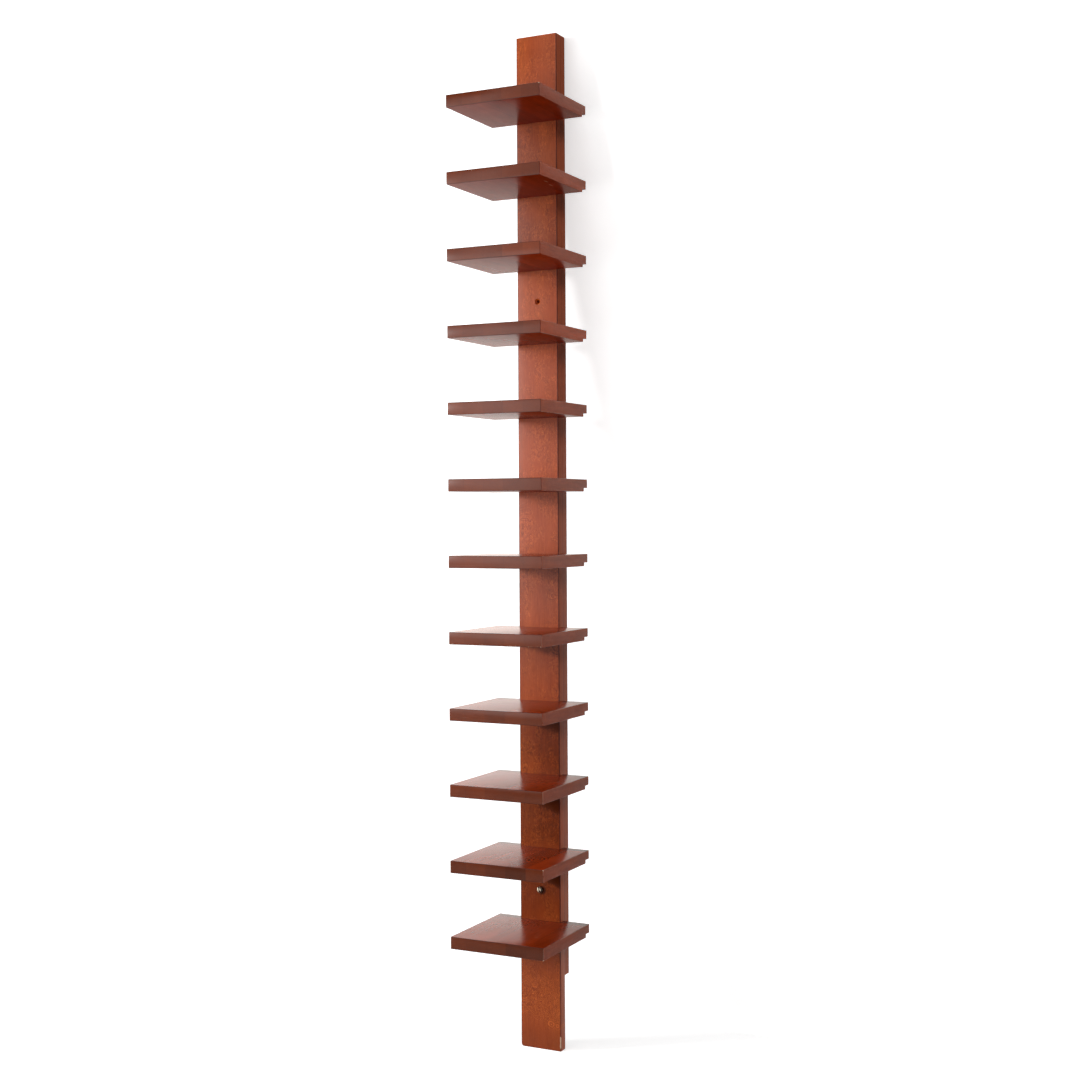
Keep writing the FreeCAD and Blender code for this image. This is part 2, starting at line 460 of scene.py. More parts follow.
def finished_tree(nodes, geometry, material):
    """Ends a tree with real geometry that has its material."""
    real = nodes.add("GeometryNodeRealizeInstances", {}, {0: geometry})
    done = nodes.add("GeometryNodeSetMaterial", {}, {"Geometry": real, "Material": material})
    nodes.add("NodeGroupOutput", {}, {0: done})
    return nodes.tree


def grow(name, tree, values):
    """An object that carries a tree on an empty mesh, with its inputs given by name."""
    carrier = new_object(name + "_carrier", bpy.data.meshes.new(name + "_carrier"))
    modifier = carrier.modifiers.new("Make", "NODES")
    modifier.node_group = tree
    for item in tree.interface.items_tree:
        if item.in_out == "INPUT":
            modifier[item.identifier] = values[item.name]
    return carrier


def shelf_board_tree():
    """A shelf: its side view with the rebate is filled and drawn out to the shelf's width."""
    names = ("Width", "Front", "Thickness", "Shoulder", "Tongue End", "Rebate", "Top Height", "Pitch")
    nodes, wires = new_tree("Shelf board", dict.fromkeys(names, NUMBER) | {"Shelves Above": WHOLE})
    *lengths, above, material = wires
    width, front, thickness, shoulder, tongue_end, rebate, first_top, pitch = lengths
    top = first_top - above * pitch
    bottom = top - thickness
    ledge = bottom + rebate
    corners = [(front, top), (front, bottom), (shoulder, bottom)]
    corners += [(shoulder, ledge), (tongue_end, ledge), (tongue_end, top)]
    settings = {"data_type": "VECTOR", "items": len(corners)}
    choice = {0: nodes.add("GeometryNodeInputIndex")}
    choice |= {i: nodes.point(y, z, 0.0) for i, (y, z) in enumerate(corners, 1)}
    corner = nodes.add("GeometryNodeIndexSwitch", settings, choice)
    points = nodes.add("GeometryNodePoints", {}, {"Count": len(corners), "Position": corner})
    line = nodes.add("GeometryNodePointsToCurves", {}, {0: points})
    ring = nodes.add("GeometryNodeSetSplineCyclic", {}, {"Geometry": line, "Cyclic": True})
    side = nodes.add("GeometryNodeFillCurve", {"mode": "NGONS"}, {0: ring})
    sockets = {"Mesh": side, "Offset Scale": width, "Individual": False}
    drawn = nodes.add("GeometryNodeExtrudeMesh", {"mode": "FACES"}, sockets)
    other_side = nodes.add("GeometryNodeFlipFaces", {}, {0: side})
    joined = nodes.add("GeometryNodeJoinGeometry", {}, {0: [drawn, other_side]})
    solid = nodes.add("GeometryNodeMergeByDistance", {}, {"Geometry": joined, "Distance": TOUCHING})
    turn = (math.pi / 2, 0, math.pi / 2)
    sockets = {"Translation": nodes.point(width * -0.5, 0.0, 0.0), "Rotation": turn}
    placed = nodes.add("GeometryNodeTransform", {}, {"Geometry": solid} | sockets)

    x, y, z = nodes.parts(nodes.add("GeometryNodeInputPosition"))
    near = 2 * TOUCHING
    at_front = y < front + near
    at_side = abs(x) > width / 2 - near
    at_face = (abs(z - top) < near) + (abs(z - bottom) < near)
    weight = (at_front + at_side * at_face).at_most(1.0)
    settings = {"data_type": "FLOAT", "domain": "EDGE"}
    sockets = {"Geometry": placed, "Name": "bevel_weight_edge", "Value": weight}
    weighted = nodes.add("GeometryNodeStoreNamedAttribute", settings, sockets)
    return finished_tree(nodes, weighted, material)


def row_tree():
    """Copies of one piece below each other at the shelves' pitch."""
    inputs = {"Piece": "NodeSocketObject", "Count": WHOLE, "Pitch": NUMBER}
    nodes, (piece, count, pitch, material) = new_tree("One at each shelf", inputs)
    step = nodes.point(0.0, 0.0, 0.0 - pitch)
    line = nodes.add("GeometryNodeMeshLine", {"mode": "OFFSET"}, {"Count": count, "Offset": step})
    shape = nodes.add("GeometryNodeObjectInfo", {}, {"Object": piece}, "Geometry")
    copies = nodes.add("GeometryNodeInstanceOnPoints", {}, {"Points": line, "Instance": shape})
    return finished_tree(nodes, copies, material)


def thread_tree():
    """The ridge of a screw's thread, which winds round the Z direction from the origin."""
    inputs = dict.fromkeys(("Turns", "Length", "Core Radius", "Ridge"), NUMBER)
    nodes, (turns, reach, core, ridge, material) = new_tree("Screw thread", inputs)
    sockets = {"Resolution": 12, "Rotations": turns, "Height": reach, "Start Radius": core}
    path = nodes.add("GeometryNodeCurveSpiral", {}, sockets | {"End Radius": core * 0.55})
    section = nodes.add("GeometryNodeCurvePrimitiveCircle", {}, {"Resolution": 3, "Radius": ridge})
    sockets = {"Curve": path, "Profile Curve": section, "Fill Caps": True}
    return finished_tree(nodes, nodes.add("GeometryNodeCurveToMesh", {}, sockets), material)


def at_each_shelf(piece, pitch, material=None):
    """A mesh with a copy of a piece at each shelf's height. The piece is used up."""
    values = {"Piece": piece, "Count": len(shelf_nodes), "Pitch": pitch, "Material": material}
    result = plain(piece.name + "_row", grow(piece.name, row_tree(), values))
    bpy.data.objects.remove(piece)
    return result


# ---- Finishes ----


def new_finish(name):
    """A material with an empty tree, and its Object coordinates."""
    material = bpy.data.materials.new(name)
    material.use_nodes = True
    paint = Nodes(material.node_tree)
    return material, paint, paint.add("ShaderNodeTexCoord", {}, {}, "Object")


def coat(paint, constants, height, strength, depth, **varying):
    """Ends a material in one Principled shader, whose bump has a height, a strength and a depth."""
    bump = paint.add("ShaderNodeBump", {}, {"Strength": strength, "Distance": depth, "Height": height})
    sockets = {name.replace("_", " "): wire for name, wire in varying.items()}
    shader = paint.add("ShaderNodeBsdfPrincipled", {}, constants | sockets | {"Normal": bump})
    paint.add("ShaderNodeOutputMaterial", {}, {0: shader})


def lacquered(gloss):
    """What is constant in stained wood under lacquer."""
    return {"Specular IOR Level": 0.0, "Roughness": 0.6, "Coat IOR": 1.5, "Coat Roughness": gloss}


def distance(a, b, centre=(0.0, 0.0)):
    """How far a place is from a point, in two of its coordinates."""
    a, b = a - centre[0], b - centre[1]
    return (a * a + b * b) ** 0.5


def curled(paint, a, b, centre, reach, spacing, wobble):
    """Rings of curly figure round a point, strongest at the middle and gone at its reach."""
    away = distance(a, b, centre)
    rings = (away * (2 * math.pi / spacing) + wobble).wave()
    return rings * paint.within(away, reach * 0.35, reach)


def spine_birch(finish, shelves):
    """Flat-sawn birch with upright grain, stained red-brown under satin lacquer."""
    material, paint, place = new_finish("Stained birch of the spine")
    x, y, z = paint.parts(place)
    nx, _, nz = paint.parts(place.output("Normal"))
    side, end = paint.facing(abs(nx)), paint.facing(abs(nz))
    board = y < board_high.y
    front = board * (1 - side)
    above_floor = z - board_low.z

    drift = paint.noise(paint.point(x * 12, y * 9 + board * 5, z * 3.1), 1.0, 2.0)
    sway = (paint.grain((x, y, z), (24, 20, 11), 2.0) - 0.5) * 0.010
    swayed = (x + sway, y, z)
    fibre = paint.grain(swayed, (560, 560, 26), 2.0, 0.6)
    fleck = paint.grain(swayed, (360, 360, 190), 2.0, 0.6, 0.5)
    mottle = paint.grain(swayed, (95, 95, 48), 3.0, 0.65, 1.2)
    lean = 1.5 * (paint.grain((x, y, z), (16, 14, 8), 1.0) - 0.40)
    leaning = (x + z * lean, y, z - x * lean)
    curl = paint.grain(leaning, (300, 60, 70), 3.0, 0.6, 1.2)
    weave = paint.grain(leaning, (200, 50, 60), 2.0, 0.5, 1.8)
    patch = paint.grain((x, y, z), (24, 20, 15), 2.0, 0.5, 0.8)

    # Where the figure shows: all over from the middle down, and most in the bay of the foot
    curly = paint.between(z, 0.10, -0.80, 0.35, 1.0)
    lively = paint.within(abs(z + 1.445 + (drift - 0.5) * 0.06), 0.030, 0.075)
    figured = paint.between(patch + (mottle - 0.5) * 0.4, 0.40, 0.58)
    figured = (figured * paint.between(above_floor, 0.03, 0.09)).at_least(lively * 0.6)
    threads = paint.around(weave, 0.5, 0.010, 0.045)
    thread_share = lively.at_least(figured * 0.35)
    strokes = paint.between(fleck, 0.52, 0.63) * figured
    ticks = paint.between(fleck, 0.47, 0.37) * figured
    swirl = curled(paint, x, z, (0.0235, -1.4975), 0.014, 0.0050, mottle * 14)
    swirl = swirl.at_least(curled(paint, x, z, (0.0385, -1.5000), 0.012, 0.0052, mottle * 9))

    level = 1 + (drift - 0.5) * 0.45 + (fibre - 0.5) * 0.40 * (1 - side * 0.6)
    level = level + (mottle - 0.5) * 0.20 * (1 - side * 0.4)
    curl = (curl - 0.5) * (curly - lively * 0.1) * 1.45
    level = level + curl * (1 - side * 0.8) * (0.4 + figured * 0.6)
    level = level + (strokes * 0.14 - ticks * 0.13) * (1 - side * 0.7)
    level = level + swirl * 0.40 + (threads - 0.30) * thread_share * 0.62

    # Darker at some heights, lighter low in the foot's bay and darker towards the floor, with a
    # painted shadow under each of the lower shelves and a painted shadow round the wall screw's head
    darkening_and_shade = paint.around(z, 0.27, 0.15, 0.27, 0.36) * (z < TOP_SHELF)
    darkening_and_shade = darkening_and_shade + paint.between(z, -0.42, -0.62, 0.0, 0.20) + paint.around(z, -1.07, 0.12, 0.32, 0.26)
    darkening_and_shade = darkening_and_shade + paint.between(above_floor, 0.09, 0.0, 0.0, 0.26)
    darkening_and_shade = darkening_and_shade - paint.between(z, -1.34, -1.43) * 0.16 + paint.around(z, -1.345, 0.02, 0.05, 0.12)
    darkening_and_shade = darkening_and_shade + paint.around(z, -0.02, 0.03, 0.05, 0.06) + paint.around(z, -1.05, 0.05, 0.08, 0.07)
    # Painted shadow of each lower shelf on the spine's front, a wedge that grows deeper to the right
    below = (shelves.top - shelves.thickness - z) % shelves.pitch
    slope = paint.between(z, -0.85, -1.0, 0.25, 0.36)
    shaded = paint.within(below - (x + shelves.width / 2) * slope, -0.008, 0.008)
    shaded = shaded * paint.between(z, -0.45, -1.10, 0.05, 0.70) * (z > LAST_SHELF)
    # Painted shadow round the wall screw's head, centred a little right of and below the screw
    away = distance(x, z, (0.004, lower_hole_height - 0.001))
    darkening_and_shade = darkening_and_shade + shaded + (z > TOP_SHELF) * 0.07 + paint.within(away, 0.0065, 0.0105, 0.55)
    level = level - darkening_and_shade * front + side * (0.20 + paint.between(z, -0.75, -1.25) * 0.30)

    stain = paint.blend(side, finish.spine_red, finish.spine_side)
    stain = paint.blend(end * 0.8, stain, finish.shelf_end)
    warm = strokes * 0.24 + threads * thread_share * 0.75 + paint.between(drift, 0.45, 0.7) * 0.35
    warm = (warm.at_most(1.0) * (1 - side)).at_least(swirl * 0.8)
    stain = paint.tone(paint.blend(warm, stain, finish.spine_warm), level.at_least(0.25))

    to_side = board_high.x - abs(x)
    to_front = abs(y - board_low.y)
    to_face = (y - board_low.y).at_most(abs(batten_high.y - y))
    edge = paint.within(to_side + to_face + (mottle - 0.5) * 0.001, 0.0010, 0.0024)
    glue = paint.around(y, board_high.y, 0.00015, 0.0004) * side
    stain = paint.blend(edge.at_least(glue) * 0.85, stain, finish.dark_arris)
    chip_height = abs(z - (board_low.z + 0.0185))
    chip = paint.within(chip_height + (fleck - 0.5) * 0.006, 0.0100, 0.0130)
    chip_edge = paint.within(to_side + to_front + (mottle - 0.5) * 0.003, 0.0014, 0.0028)
    bare = chip * chip_edge * (x > 0)
    stain = paint.blend(bare, stain, finish.bare_wood)

    dull = paint.between(z, -1.0, 0.45)
    lacquer = 0.55 + (mottle - 0.5) * 0.2 - side * (0.14 + dull * 0.30)
    # Thinner lacquer on the front lower down, and in the painted shadow under the shelves
    lacquer = lacquer - (1 - side) * paint.between(z, -0.60, -1.02) * 0.26 - front * shaded * 0.3
    lacquer = lacquer + paint.between(z, -1.33, -1.35) * board * 0.24
    lacquer = lacquer + (z > TOP_SHELF) * front * 0.12 - bare * 0.4
    height = fibre * 0.4 + fleck * 0.4 + mottle * 0.5
    constants = lacquered(finish.lacquer_gloss + 0.11)
    coat(paint, constants, height, 0.15, 0.0006, Base_Color=stain, Coat_Weight=lacquer.at_least(0.0))
    return material


def shelf_birch(finish, shelves):
    """Birch glued up from staves that run front to back, so the front edge shows end grain."""
    material, paint, place = new_finish("Stained birch of the shelves")
    x, y, z = paint.parts(place)
    nx, ny, nz = paint.parts(place.output("Normal"))
    front, side = paint.facing(abs(ny)), paint.facing(abs(nx))
    over, under = paint.facing(nz), paint.facing(nz, -1)

    # Which shelf and stave a place is in, and how far it is below the shelf's upper face
    rounding = 0.2 * MM
    down = (shelves.top + rounding - z) / shelves.pitch
    shelf = down.floor()
    depth = (down - shelf) * shelves.pitch - rounding
    across = (x + 1.5 * shelves.stave + 0.0015) / shelves.stave
    stave = across.floor()
    pair = paint.point(stave, shelf + 3.0, 0.0)
    chance = paint.add("ShaderNodeTexWhiteNoise", {"noise_dimensions": "2D"}, {"Vector": pair})
    odd = paint.parts(chance.output("Color"))
    batch = paint.add("ShaderNodeTexWhiteNoise", {"noise_dimensions": "1D"}, {"W": shelf + 0.5})
    sockets = {0: chance.output("Color"), "Scale": 7.0}
    shift = paint.add("ShaderNodeVectorMath", {"operation": "SCALE"}, sockets)

    def board(number):
        return abs(shelf + 1 - number) < 0.5

    def boards(levels):
        """The level of each of some shelves, counted from the top, and 0 for the others."""
        return sum(board(number) * level for number, level in levels.items())

    place = (x, y, depth)
    grain = paint.grain(place, (330, 34, 330), 3.0, 0.6, 0.3, shift)
    broad = paint.grain(place, (60, 9, 60), 2.0, 0.5, 0.6, shift)
    cloud = paint.grain((x, y, z), (22, 22, 22), 2.0)
    spots = paint.grain(place, (420, 420, 420), 3.0, 0.6, 0.0, shift)
    flame = paint.grain(place, (75, 150, 75), 3.0, 0.6, 1.5, shift)
    radius = distance(x + (odd[0] - 0.5) * 0.05, depth + odd[1] * 0.05 + 0.02)
    rings = ((radius + (cloud - 0.5) * 0.003) * 2600).wave()
    knot = curled(paint, x * 1.5, y, (0.048 * 1.5, -0.150), 0.046, 0.011, broad * 8 + grain * 3)
    knot = knot * (1 - side) * (1 - front) * board(11)

    long_level = 1 + (grain - 0.5) * 0.42 + (broad - 0.5) * 0.6 + (flame - 0.5) * (0.34 - over * 0.14)
    long_level = long_level + (cloud - 0.5) * 0.35 + knot * 0.55
    end_level = 1 + (spots - 0.5) * 0.40 + (cloud - 0.5) * 0.45 + rings * 0.05
    stave_level = 1 + (odd[2] - 0.5) * 0.20 + (batch - 0.5) * 0.15
    last_stave = stave > 2.5
    # Some staves, and the fronts and sides of some shelves, are set lighter or darker
    stave_and_shelf_levels = board(11) * (paint.around(stave, 2, 0.4, 0.6) * -0.26 + last_stave * 0.10)
    stave_and_shelf_levels = stave_and_shelf_levels + board(12) * last_stave * -0.32 + board(3) * (stave > 1.5) * 0.40
    stave_and_shelf_levels = stave_and_shelf_levels * (1 - side) - front * board(12) * paint.around(stave, 2, 0.4, 0.6, 0.18)
    stave_and_shelf_levels = stave_and_shelf_levels - front * boards({11: 0.20, 12: 0.14, 5: -0.10, 7: -0.12})
    stave_and_shelf_levels = stave_and_shelf_levels + side * boards({2: 0.34, 3: 0.10, 4: 0.50, 5: 0.12, 12: -0.20})
    level = (long_level + front * (end_level - long_level)) * (stave_level + stave_and_shelf_levels)

    stain = paint.blend(front, finish.shelf_face, finish.shelf_end)
    stain = paint.blend(under, stain, finish.shelf_under)
    stain = paint.blend(side, stain, finish.shelf_side)
    stain = paint.tone(stain, level.at_least(0.2))
    seam = paint.between(abs(across - stave - 0.5), 0.488, 0.497) * (1 - side)
    stain = paint.blend(seam * 0.3, stain, (0.05, 0.012, 0.008))
    # Dark joint line with painted contact shadow on each shelf's top along the spine's face
    joint_shadow_line = paint.between(y - board_low.y, -0.0022, -0.0008) * over
    stain = paint.blend(joint_shadow_line * 0.75, stain, (0.03, 0.006, 0.004))

    to_side = shelves.width / 2 - abs(x)
    to_front = y - shelves.front
    to_bottom = abs(depth - shelves.thickness)
    to_face = depth.at_least(0.0).at_most(to_bottom)
    sides = paint.within(to_side + to_face, 0.0003, 0.0015)
    fronts = paint.within(to_front + to_face, 0.0006, 0.0019)
    corners = paint.within(to_front + to_side, 0.0003, 0.0015)
    lower = paint.between(shelf, 5.0, 7.5)
    dark = fronts.at_least(corners * (1 - lower)).at_least(sides * (x < 0))
    stain = paint.blend(dark * 0.8, stain, finish.dark_arris)
    # Paler edges on the right side of the lower half and at the lower shelves' front corners: partly
    # wear, partly a painted highlight
    worn_and_highlit = (sides * (x > 0) * (z < 0.0)).at_least(corners * lower)
    worn_and_highlit = worn_and_highlit * paint.between(cloud + (grain - 0.5) * 0.9, 0.36, 0.56)
    stain = paint.blend(worn_and_highlit * 0.65, stain, finish.worn_and_highlit_arris)
    at_corner = to_front + abs(shelves.width / 2 - x) + (spots - 0.5) * 0.0025
    reach = (at_corner + abs(depth)) * (board(1) + board(11)) + (at_corner + to_bottom) * board(12)
    reach = reach + (1 - board(1) - board(11) - board(12))
    stain = paint.blend(paint.within(reach, 0.0022, 0.0034) * 0.9, stain, finish.bare_wood)
    rubbed = paint.between(spots + (grain - 0.5) * 0.4, 0.60, 0.66)
    rubbed = rubbed * paint.within(to_front + to_bottom, 0.0015, 0.003)
    stain = paint.blend(rubbed * board(8) * 0.7, stain, finish.bare_wood)
    scuffs = distance(x, y * 0.25, (0.0848, -0.0420)).at_most(distance(x, y * 0.25, (0.0775, -0.0330)))
    scuffs = scuffs + (spots - 0.5) * 0.002
    scuffs = paint.within(scuffs, 0.0010, 0.0028) * under * board(2)
    stain = paint.blend(scuffs * 0.5, stain, finish.worn_and_highlit_arris)

    lacquer = over * 1.0 + under * (0.56 - paint.between(z, -0.1, 0.35) * 0.20)
    lacquer = lacquer + front * (0.58 - paint.between(shelf, 8.5, 9.5) * 0.16) + side * 0.52
    lacquer = (lacquer + (grain - 0.5) * (0.2 - over * 0.2)).at_least(0.0).at_most(1.0)
    height = ((grain * (1 - front) + spots * front) * 0.6 + broad * 0.4) * (1 - over * 0.6)
    constants = lacquered(finish.lacquer_gloss)
    coat(paint, constants, height, 0.06, 0.0005, Base_Color=stain, Coat_Weight=lacquer)
    return material


def bright_steel(finish, lean):
    """Turned steel with faint tool marks, a little tarnish, dirt and painted shade in the slot, a dark
    ring round the rim and painted shade on the head's right flank.
    """
    material, paint, place = new_finish("Bright steel")
    x, y, z = paint.parts(place)
    away = distance(x, z, (0.0, lower_hole_height))
    marks = paint.noise(paint.point(away * 9000, y * 3000, 0.0), 1.0, 2.0)
    tarnish = paint.noise(place, 420.0, 3.0, 0.6)
    tint = paint.blend(paint.between(tarnish, 0.45, 0.7), finish.steel, (0.42, 0.34, 0.22))
    off_slot = abs(x * math.cos(lean) + (z - lower_hole_height) * math.sin(lean))
    # Dirt and painted shade in the slot, a dark ring at the rim, and painted shade on the right flank
    dirt_and_shade = paint.within(off_slot, 0.00105, 0.00145)
    dirt_and_shade = dirt_and_shade.at_least(paint.between(away, 0.0060, 0.0066) * 0.8)
    dirt_and_shade = dirt_and_shade.at_least(paint.between(x, 0.0030, 0.0044) * 0.85)
    tint = paint.blend(dirt_and_shade, tint, (0.020, 0.014, 0.009))
    rough = 0.36 + (marks - 0.5) * 0.12 + (tarnish - 0.5) * 0.2 + dirt_and_shade * 0.4
    coat(paint, {}, marks, 0.1, 0.0001, Base_Color=tint, Metallic=1 - dirt_and_shade, Roughness=rough)
    return material


def yellow_zinc(finish):
    """Zinc plating with a yellow passivation whose tint wanders."""
    material, paint, place = new_finish("Yellow zinc")
    wander = paint.noise(place, 160.0, 2.0)
    grain = paint.noise(place, 900.0, 2.0)
    tint = paint.blend(paint.between(wander, 0.4, 0.62), finish.zinc, (0.62, 0.60, 0.38))
    tint = paint.blend(paint.between(wander, 0.55, 0.75) * 0.6, tint, (0.72, 0.45, 0.36))
    rough = 0.28 + (grain - 0.5) * 0.15
    coat(paint, {"Metallic": 1.0}, grain, 0.08, 0.0001, Base_Color=tint, Roughness=rough)
    return material


def backdrop_paper():
    """White paper that shows the object's shadow, and glows though it is no lamp.

    It is seen from the front and in gloss, and lets light pass to the object's back. To the camera it
    glows more lower down and most on the floor, which pales the shadow there; in gloss it glows
    brightest at eye level and warmer higher up, which paints the reflections in the shelves' tops.
    """
    material, paint, place = new_finish("Backdrop paper")
    rays = paint.add("ShaderNodeLightPath")
    camera, glossy = rays.output("Is Camera Ray"), rays.output("Is Glossy Ray")
    behind = paint.add("ShaderNodeNewGeometry", {}, {}, "Backfacing")
    seen = camera.at_least(glossy).at_least(rays.output("Is Transmission Ray"))
    matt = paint.add("ShaderNodeBsdfDiffuse", {}, {"Color": (0.85, 0.85, 0.85, 1)})
    height = paint.parts(place)[2]
    upper = paint.between(height, -0.35, -0.12)
    # Painted reflection: in gloss the paper glows brightest between these heights, which brightens the
    # reflections in the middle shelves' tops
    middle = paint.between(height, -0.80, -0.55, 0.0, 0.445) * paint.between(height, -0.10, -0.45)
    gloss_glow = 0.555 + middle + upper * 0.07
    seen_glow = paint.between(height, -0.35, 0.35, 0.645, 0.560)
    # Painted light: the floor glows a little more, which pales the object's shadow on it
    seen_glow = seen_glow + paint.within(height, -1.552, -1.540, 0.055)
    warm_tint = paint.blend(upper, (1.0, 0.905, 0.80), (1.0, 0.82, 0.68))
    warmth = paint.blend(glossy, (1.0, 1.0, 1.0), warm_tint)
    warmth = paint.tone(warmth, camera * seen_glow + glossy * gloss_glow)
    lift = paint.add("ShaderNodeEmission", {}, {"Color": warmth, "Strength": 1.0})
    lit = paint.add("ShaderNodeAddShader", {}, {0: matt, 1: lift})
    clear = paint.add("ShaderNodeBsdfTransparent")
    shown = paint.add("ShaderNodeMixShader", {}, {0: seen * (1 - behind), 1: clear, 2: lit})
    paint.add("ShaderNodeOutputMaterial", {}, {0: shown})
    return material


# ---- Operators ----


class BOOKSHELF_OT_shelves(bpy.types.Operator):
    """Makes the shelves, each with its rebate and tongue"""

    bl_idname = "bookshelf.shelves"
    bl_label = "Shelves"

    def execute(self, context):
        shelves = context.scene.bookshelf_shelves
        material = shelf_birch(context.scene.bookshelf_finish, shelves)
        tree = shelf_board_tree()
        values = {
            "Width": shelves.width,
            "Front": shelves.front,
            "Thickness": shelves.thickness,
            "Shoulder": board_low.y,
            "Tongue End": shelves.tongue_end,
            "Rebate": shelves.rebate,
            "Top Height": shelves.top,
            "Pitch": shelves.pitch,
            "Material": material,
        }
        for above, node in enumerate(shelf_nodes):
            carrier = grow(node, tree, values | {"Shelves Above": above})
            ease(carrier, shelves.arris)
            name = f"shelf_board_{above + 1:02d}"
            settle(plain(name, carrier), name, material, "shelf_wood", node)
        return {"FINISHED"}


class BOOKSHELF_OT_front_board(bpy.types.Operator):
    """Makes the spine's front board, with a dado, a pilot hole and a screw's seat for each shelf"""

    bl_idname = "bookshelf.front_board"
    bl_label = "Front board"

    def execute(self, context):
        scene = context.scene
        spine, shelves, screws = scene.bookshelf_spine, scene.bookshelf_shelves, scene.bookshelf_screws
        half, face, back = board_high.x, board_low.y, board_high.y
        floor, top = board_low.z, board_high.z
        corner = (-half + spine.foot_corner, floor + spine.foot_corner)
        outline = arc(corner, spine.foot_corner, 180, 270, 8)
        outline += [(half, floor), (half, top), (-half, top)]
        board = eased_board(prism(outline, "Y", face, back, "board"), spine.arris, back)
        board = carve(board, heel_cutter(back, floor, spine.foot_heel))

        dado_back = back - spine.dado_web
        tongue_bottom = shelves.top - shelves.thickness + shelves.rebate
        play = spine.joint_gap / 2
        outline = rectangle((face - 10 * PAST, tongue_bottom - play), (dado_back, shelves.top + play))
        board = carve(board, at_each_shelf(sideways_cutter(outline, "dado"), shelves.pitch))

        shank = screws.shelf_shank / 2 + 0.1 * MM
        mouth = screws.shelf_head / 2 + 0.5 * MM
        profile = [(0, dado_back - PAST), (shank, dado_back - PAST), (shank, back - (mouth - shank))]
        profile += [(mouth, back), (mouth, back + PAST), (0, back + PAST)]
        pilot = turned(profile, (shelves.top + tongue_bottom) / 2, 24, "pilot")
        board = carve(board, at_each_shelf(pilot, shelves.pitch))

        hole, mouth = spine.wall_hole / 2, spine.wall_mouth / 2
        profile = [(0, face - PAST), (mouth, face - PAST), (mouth, face)]
        profile += [(hole, face + mouth - hole), (hole, back + PAST), (0, back + PAST)]
        material = spine_birch(scene.bookshelf_finish, shelves)
        settle(with_wall_holes(board, profile), "front_board", material, "spine_wood", "spine_board")
        return {"FINISHED"}


class BOOKSHELF_OT_rear_batten(bpy.types.Operator):
    """Makes the batten behind the front board, which ends above the skirting"""

    bl_idname = "bookshelf.rear_batten"
    bl_label = "Rear batten"

    def execute(self, context):
        spine = context.scene.bookshelf_spine
        half, face, back = batten_high.x, batten_low.y, batten_high.y
        outline = rectangle((-half, batten_low.z), (half, batten_high.z))
        batten = eased_board(prism(outline, "Y", face, back, "batten"), spine.arris, face)
        batten = carve(batten, heel_cutter(back, batten_low.z, spine.batten_heel))
        hole = spine.wall_hole / 2
        profile = [(0, face - PAST), (hole, face - PAST), (hole, back + PAST), (0, back + PAST)]
        material = bpy.data.materials["Stained birch of the spine"]
        settle(with_wall_holes(batten, profile), "rear_batten", material, "spine_wood", "wall_batten")
        return {"FINISHED"}


class BOOKSHELF_OT_shelf_screws(bpy.types.Operator):
    """Makes the countersunk screws that draw the shelves to the spine"""

    bl_idname = "bookshelf.shelf_screws"
    bl_label = "Shelf screws"

    def execute(self, context):
        screws = context.scene.bookshelf_screws
        head, core = screws.shelf_head / 2, screws.shelf_shank * 0.36
        rim, point, nib = 0.3 * MM, 6 * MM, 1.5 * MM
        y, tip = shelf_screw_high.y, shelf_screw_low.y
        z = (shelf_screw_low.z + shelf_screw_high.z) / 2
        profile = [(0, y), (head - rim, y), (head, y - rim), (core, y - head + core)]
        profile += [(core, tip + point), (core * 0.4, tip + nib), (0, tip)]
        screw = turned(profile, z, 20, "screw")

        arm_width, arm_length, recess_depth = 0.8 * MM, 2.6 * MM, 2.2 * MM
        outline = rectangle((-arm_width, -arm_length), (arm_width, arm_length))
        arms = []
        for angle in (0, math.pi / 2):
            arm = prism(outline, "Y", y - recess_depth, y + PAST, "recess")
            turn_and_move(arm, angle, "Y", 0, z)
            arms.append(arm)
        screw = carve(screw, *arms)

        values = {"Turns": 17.0, "Length": 48 * MM, "Core Radius": core, "Ridge": 0.75 * MM}
        thread = plain("thread", grow("thread", thread_tree(), values | {"Material": None}))
        thread_start = tip + 49 * MM
        turn_and_move(thread, math.pi / 2, "X", thread_start, z)
        bm = bmesh.new()
        for part in (screw, thread):
            bm.from_mesh(part.data)
            bpy.data.objects.remove(part)
        screw = new_object("screw", mesh_of(bm, "screw"))
        material = yellow_zinc(context.scene.bookshelf_finish)
        row = at_each_shelf(screw, context.scene.bookshelf_shelves.pitch, material)
        nodes = [f"{node}_screw" for node in shelf_nodes]
        settle(row, "countersunk_screws", material, "shelf_screw_steel", *nodes, sharp=40)
        return {"FINISHED"}


